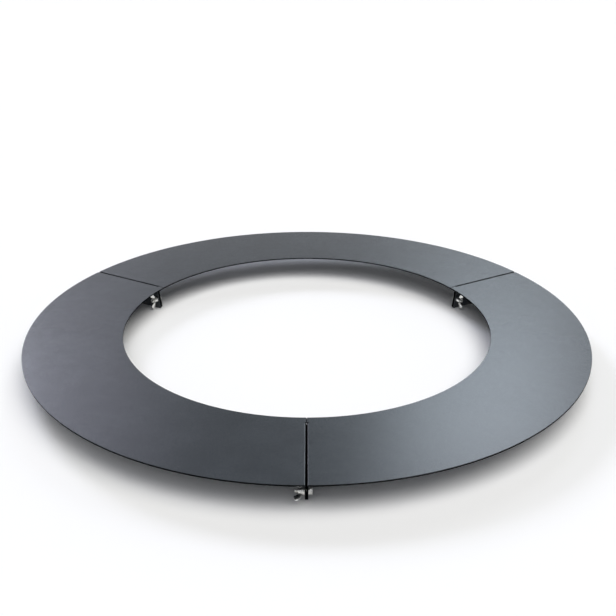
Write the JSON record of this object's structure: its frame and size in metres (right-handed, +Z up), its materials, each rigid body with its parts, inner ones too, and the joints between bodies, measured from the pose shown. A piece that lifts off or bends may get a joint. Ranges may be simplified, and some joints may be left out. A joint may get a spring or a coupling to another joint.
{
  "type": "tree ring edging",
  "caption": "Flat steel ring laid round a tree, made of equal curved segments with folded end flanges bolted together by hexagon bolts and wing nuts.",
  "frame": {"origin": "on the ring's axis, at the ground that the flanges stand on", "axes": "+Z up, -Y towards the front seam, +X to the right of it"},
  "size_m": [1, 1, 0.048],
  "materials": {
    "powder_coat": "fine matt powder coat, anthracite",
    "zinc": "bright zinc plating"
  },
  "bodies": {
    "ring": {"segment_front_left": "powder_coat", "segment_front_right": "powder_coat", "segment_rear": "powder_coat", "bolt_front_inner": "zinc", "bolt_front_outer": "zinc", "bolt_rear_right_inner": "zinc", "bolt_rear_right_outer": "zinc", "bolt_rear_left_inner": "zinc", "bolt_rear_left_outer": "zinc", "head_washer_front_inner": "zinc", "head_washer_front_outer": "zinc", "head_washer_rear_right_inner": "zinc", "head_washer_rear_right_outer": "zinc", "head_washer_rear_left_inner": "zinc", "head_washer_rear_left_outer": "zinc"},
    "washer_front_inner": {"nut_washer_front_inner": "zinc"},
    "nut_front_inner": {"wing_nut_front_inner": "zinc"},
    "washer_front_outer": {"nut_washer_front_outer": "zinc"},
    "nut_front_outer": {"wing_nut_front_outer": "zinc"},
    "washer_rear_right_inner": {"nut_washer_rear_right_inner": "zinc"},
    "nut_rear_right_inner": {"wing_nut_rear_right_inner": "zinc"},
    "washer_rear_right_outer": {"nut_washer_rear_right_outer": "zinc"},
    "nut_rear_right_outer": {"wing_nut_rear_right_outer": "zinc"},
    "washer_rear_left_inner": {"nut_washer_rear_left_inner": "zinc"},
    "nut_rear_left_inner": {"wing_nut_rear_left_inner": "zinc"},
    "washer_rear_left_outer": {"nut_washer_rear_left_outer": "zinc"},
    "nut_rear_left_outer": {"wing_nut_rear_left_outer": "zinc"}
  },
  "joints": [
    {"name": "washer_slide_front_inner", "type": "slide", "parent": "ring", "child": "washer_front_inner", "axis": [-1, 0, 0], "range_m": [0, 0.01]},
    {"name": "nut_turn_front_inner", "type": "hinge", "parent": "washer_front_inner", "child": "nut_front_inner", "pos_m": [0, -0.34998, 0.019], "axis": [-1, 0, 0], "range_deg": [0, 3600]},
    {"name": "washer_slide_front_outer", "type": "slide", "parent": "ring", "child": "washer_front_outer", "axis": [-1, 0, 0], "range_m": [0, 0.01]},
    {"name": "nut_turn_front_outer", "type": "hinge", "parent": "washer_front_outer", "child": "nut_front_outer", "pos_m": [0, -0.47203, 0.019], "axis": [-1, 0, 0], "range_deg": [0, 3600]},
    {"name": "washer_slide_rear_right_inner", "type": "slide", "parent": "ring", "child": "washer_rear_right_inner", "axis": [0.5, -0.866, 0], "range_m": [0, 0.01]},
    {"name": "nut_turn_rear_right_inner", "type": "hinge", "parent": "washer_rear_right_inner", "child": "nut_rear_right_inner", "pos_m": [0.30309, 0.17499, 0.019], "axis": [0.5, -0.866, 0], "range_deg": [0, 3600]},
    {"name": "washer_slide_rear_right_outer", "type": "slide", "parent": "ring", "child": "washer_rear_right_outer", "axis": [0.5, -0.866, 0], "range_m": [0, 0.01]},
    {"name": "nut_turn_rear_right_outer", "type": "hinge", "parent": "washer_rear_right_outer", "child": "nut_rear_right_outer", "pos_m": [0.40879, 0.23601, 0.019], "axis": [0.5, -0.866, 0], "range_deg": [0, 3600]},
    {"name": "washer_slide_rear_left_inner", "type": "slide", "parent": "ring", "child": "washer_rear_left_inner", "axis": [-0.5, -0.866, 0], "range_m": [0, 0.01]},
    {"name": "nut_turn_rear_left_inner", "type": "hinge", "parent": "washer_rear_left_inner", "child": "nut_rear_left_inner", "pos_m": [-0.30309, 0.17499, 0.019], "axis": [-0.5, -0.866, 0], "range_deg": [0, 3600]},
    {"name": "washer_slide_rear_left_outer", "type": "slide", "parent": "ring", "child": "washer_rear_left_outer", "axis": [-0.5, -0.866, 0], "range_m": [0, 0.01]},
    {"name": "nut_turn_rear_left_outer", "type": "hinge", "parent": "washer_rear_left_outer", "child": "nut_rear_left_outer", "pos_m": [-0.40879, 0.23601, 0.019], "axis": [-0.5, -0.866, 0], "range_deg": [0, 3600]}
  ],
  "couplings": [
    {"joint": "washer_slide_front_inner", "follows": "nut_turn_front_inner", "m_per_rad": 0.00015915},
    {"joint": "washer_slide_front_outer", "follows": "nut_turn_front_outer", "m_per_rad": 0.00015915},
    {"joint": "washer_slide_rear_right_inner", "follows": "nut_turn_rear_right_inner", "m_per_rad": 0.00015915},
    {"joint": "washer_slide_rear_right_outer", "follows": "nut_turn_rear_right_outer", "m_per_rad": 0.00015915},
    {"joint": "washer_slide_rear_left_inner", "follows": "nut_turn_rear_left_inner", "m_per_rad": 0.00015915},
    {"joint": "washer_slide_rear_left_outer", "follows": "nut_turn_rear_left_outer", "m_per_rad": 0.00015915}
  ]
}
